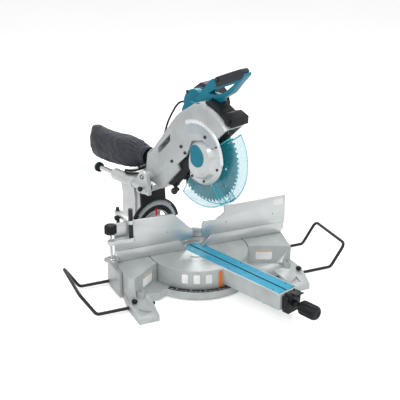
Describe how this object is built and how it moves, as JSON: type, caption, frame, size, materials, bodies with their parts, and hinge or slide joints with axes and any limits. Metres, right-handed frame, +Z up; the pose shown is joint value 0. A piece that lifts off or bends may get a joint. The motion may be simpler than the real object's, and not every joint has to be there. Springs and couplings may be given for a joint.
{
  "type": "sliding compound mitre saw",
  "caption": "Sliding mitre saw: turntable with kerf slot, two-part fence, tilting arm on twin rails, chopping saw head with clear guard, dust bag, vise and side supports.",
  "frame": {"origin": "bottom centre of the saw's box at rest, measured without the mains lead, its coil and its plug", "axes": "+X along the fence to the operator's right, +Y to the rear, away from the operator, +Z up; the table is stored turned 20.2 degrees"},
  "size_m": [0.952, 1.0507, 0.7478],
  "materials": {
    "silver_paint": "satin silver-grey casting paint",
    "machined_aluminium": "milled",
    "teal_plastic": "semi-gloss",
    "clear_guard": "tinted clear plastic",
    "kerf_board_blue": "satin",
    "black_plastic": "matte",
    "black_steel": "gloss black",
    "dark_grip": "matte",
    "steel": "brushed",
    "chrome": "polished",
    "orange_pointer": "satin",
    "red_plastic": "satin",
    "bag_fabric": "woven",
    "cord_rubber": "matte"
  },
  "bodies": {
    "base": {"base_casting": "silver_paint", "mitre_scale": "black_plastic", "fixed_fence": "machined_aluminium", "power_cord": "cord_rubber", "cord_coil": "cord_rubber", "plug": "cord_rubber"},
    "fence_slide_left": {"sliding_fence_left": "machined_aluminium"},
    "fence_slide_right": {"sliding_fence_right": "machined_aluminium"},
    "fence_clamp_left": {"fence_knob_left": "black_plastic"},
    "fence_clamp_right": {"fence_knob_right": "black_plastic"},
    "holder_slide_left": {"holder_left": "black_steel"},
    "holder_slide_right": {"holder_right": "black_steel"},
    "holder_clamp_left": {"holder_knob_left": "black_plastic"},
    "holder_clamp_right": {"holder_knob_right": "black_plastic"},
    "vise_swivel": {"vise_rod": "black_steel", "vise_link": "machined_aluminium"},
    "vise_clamp": {"vise_clamp_knob": "black_plastic"},
    "vise_lift": {"vise_post": "black_steel", "vise_arm": "machined_aluminium"},
    "vise_press": {"vise_screw": "steel", "vise_plate": "steel"},
    "vise_handle": {"vise_knob": "black_plastic"},
    "table": {"turntable": "silver_paint", "turntable_pivot": "steel", "kerf_board_left": "kerf_board_blue", "kerf_board_right": "kerf_board_blue", "mitre_pointer": "orange_pointer", "arm_end_bracket": "black_plastic", "bevel_pointer": "red_plastic"},
    "mitre_grip": {"grip_knob": "black_plastic"},
    "mitre_lever": {"lock_lever": "black_plastic"},
    "bevel_release": {"release_lever": "red_plastic"},
    "tilt": {"bevel_arm": "silver_paint", "bevel_scale": "black_plastic", "bevel_pivot": "steel"},
    "bevel_lock": {"bevel_lock_lever": "black_plastic"},
    "slider": {"carriage": "silver_paint", "slide_rail_left": "chrome", "slide_rail_right": "chrome", "rail_cap_left": "teal_plastic", "rail_cap_right": "teal_plastic", "pivot_shaft": "steel"},
    "stopper": {"stopper_pin": "black_plastic"},
    "head": {"saw_case": "silver_paint", "inner_cover": "black_plastic", "centre_cover": "silver_paint", "guard_front_cover": "black_plastic", "gear_housing": "teal_plastic", "motor_housing": "teal_plastic", "motor_cap": "dark_grip", "handle": "teal_plastic", "handle_grip": "dark_grip", "dust_nozzle": "black_plastic", "dust_bag": "bag_fabric"},
    "trigger_lever": {"trigger": "dark_grip"},
    "lock_off": {"lock_off_button": "black_plastic"},
    "guard_front": {"lower_guard_front": "clear_guard"},
    "guard_rear": {"lower_guard_rear": "clear_guard"},
    "blade": {"saw_blade": "steel", "blade_flange": "steel"}
  },
  "joints": [
    {"name": "mitre_turn", "type": "hinge", "parent": "base", "child": "table", "pos_m": [-0.0155, -0.0261, 0.05], "axis": [0, 0, 1], "range_deg": [-70.2, 29.8]},
    {"name": "fence_left_slide", "type": "slide", "parent": "base", "child": "fence_slide_left", "axis": [-1, 0, 0], "range_m": [0, 0.06]},
    {"name": "fence_right_slide", "type": "slide", "parent": "base", "child": "fence_slide_right", "axis": [1, 0, 0], "range_m": [0, 0.06]},
    {"name": "fence_left_clamp_turn", "type": "hinge", "parent": "base", "child": "fence_clamp_left", "pos_m": [-0.2155, 0.0082, 0.128], "axis": [0, 1, 0], "range_deg": [0, 180]},
    {"name": "fence_right_clamp_turn", "type": "hinge", "parent": "base", "child": "fence_clamp_right", "pos_m": [0.1845, 0.0082, 0.128], "axis": [0, 1, 0], "range_deg": [0, 180]},
    {"name": "holder_left_slide", "type": "slide", "parent": "base", "child": "holder_slide_left", "axis": [-1, 0, 0], "range_m": [0, 0.06]},
    {"name": "holder_right_slide", "type": "slide", "parent": "base", "child": "holder_slide_right", "axis": [1, 0, 0], "range_m": [0, 0.06]},
    {"name": "holder_left_clamp_turn", "type": "hinge", "parent": "base", "child": "holder_clamp_left", "pos_m": [-0.2955, -0.1781, 0.0268], "axis": [0, 0, 1], "range_deg": [0, 180]},
    {"name": "holder_right_clamp_turn", "type": "hinge", "parent": "base", "child": "holder_clamp_right", "pos_m": [0.2925, -0.1781, 0.0268], "axis": [0, 0, 1], "range_deg": [0, 180]},
    {"name": "vise_swing", "type": "hinge", "parent": "base", "child": "vise_swivel", "pos_m": [-0.2705, 0.0479, 0.1], "axis": [0, 0, 1], "range_deg": [-60, 10]},
    {"name": "vise_clamp_turn", "type": "hinge", "parent": "vise_swivel", "child": "vise_clamp", "pos_m": [-0.2847, 0.0039, 0.244], "axis": [1, 0, 0], "range_deg": [0, 180]},
    {"name": "vise_height", "type": "slide", "parent": "vise_swivel", "child": "vise_lift", "axis": [0, 0, 1], "range_m": [-0.022, 0.04]},
    {"name": "vise_press_travel", "type": "slide", "parent": "vise_lift", "child": "vise_press", "axis": [0, 0, -1], "range_m": [-0.02, 0.02]},
    {"name": "vise_knob_turn", "type": "hinge", "parent": "vise_press", "child": "vise_handle", "pos_m": [-0.324, -0.0421, 0.2123], "axis": [0, 0, -1], "range_deg": [-1800, 1800]},
    {"name": "grip_knob_turn", "type": "hinge", "parent": "table", "child": "mitre_grip", "pos_m": [0.13367, -0.43153, 0.064], "axis": [-0.3453, 0.9385, 0], "range_deg": [0, 180]},
    {"name": "lock_lever_press", "type": "hinge", "parent": "table", "child": "mitre_lever", "pos_m": [0.13274, -0.429, 0.094], "axis": [0.9385, 0.3453, 0], "range_deg": [0, 15], "stiffness_Nm_per_rad": 1, "springref_deg": -8.59},
    {"name": "bevel_release_push", "type": "hinge", "parent": "table", "child": "bevel_release", "pos_m": [-0.1519, 0.16506, 0.137], "axis": [-0.3453, 0.9385, 0], "range_deg": [0, 8], "stiffness_Nm_per_rad": 1, "springref_deg": -8.59},
    {"name": "bevel_tilt", "type": "hinge", "parent": "table", "child": "tilt", "pos_m": [-0.09664, 0.19445, 0.097], "axis": [-0.3453, 0.9385, 0], "range_deg": [-38, 12]},
    {"name": "bevel_lock_turn", "type": "hinge", "parent": "tilt", "child": "bevel_lock", "pos_m": [-0.14205, 0.31786, 0.097], "axis": [-0.3453, 0.9385, 0], "range_deg": [-30, 30]},
    {"name": "rail_slide", "type": "slide", "parent": "tilt", "child": "slider", "axis": [0.3453, -0.9385, 0], "range_m": [0, 0.08]},
    {"name": "stopper_pull", "type": "slide", "parent": "slider", "child": "stopper", "axis": [-0.9385, -0.3453, 0], "range_m": [0, 0.006]},
    {"name": "chop", "type": "hinge", "parent": "slider", "child": "head", "pos_m": [-0.08387, 0.15972, 0.32], "axis": [0.9385, 0.3453, 0], "range_deg": [0, 45], "stiffness_Nm_per_rad": 12, "springref_deg": -171.89, "deforming": ["power_cord"]},
    {"name": "guard_front_retract", "type": "hinge", "parent": "head", "child": "guard_front", "pos_m": [-0.00342, -0.05895, 0.439], "axis": [0.9385, 0.3453, 0], "range_deg": [-51, 1]},
    {"name": "guard_rear_retract", "type": "hinge", "parent": "head", "child": "guard_rear", "pos_m": [-0.00342, -0.05895, 0.439], "axis": [0.9385, 0.3453, 0], "range_deg": [-121, 1]},
    {"name": "blade_spin", "type": "hinge", "parent": "head", "child": "blade", "pos_m": [-0.00342, -0.05895, 0.439], "axis": [0.9385, 0.3453, 0], "continuous": true},
    {"name": "trigger_pull", "type": "hinge", "parent": "head", "child": "trigger_lever", "pos_m": [0.05477, -0.15917, 0.70476], "axis": [0.9385, 0.3453, 0], "range_deg": [0, 4], "stiffness_Nm_per_rad": 2, "springref_deg": -5.73},
    {"name": "lock_off_push", "type": "slide", "parent": "head", "child": "lock_off", "axis": [0.9385, 0.3453, 0], "range_m": [0, 0.003], "stiffness_N_per_m": 400, "springref_m": -0.002}
  ],
  "couplings": [
    {"joint": "guard_front_retract", "follows": "chop", "ratio": -1.1111},
    {"joint": "guard_rear_retract", "follows": "chop", "ratio": -2.6667},
    {"joint": "vise_knob_turn", "follows": "vise_press_travel", "rad_per_m": 1570}
  ]
}
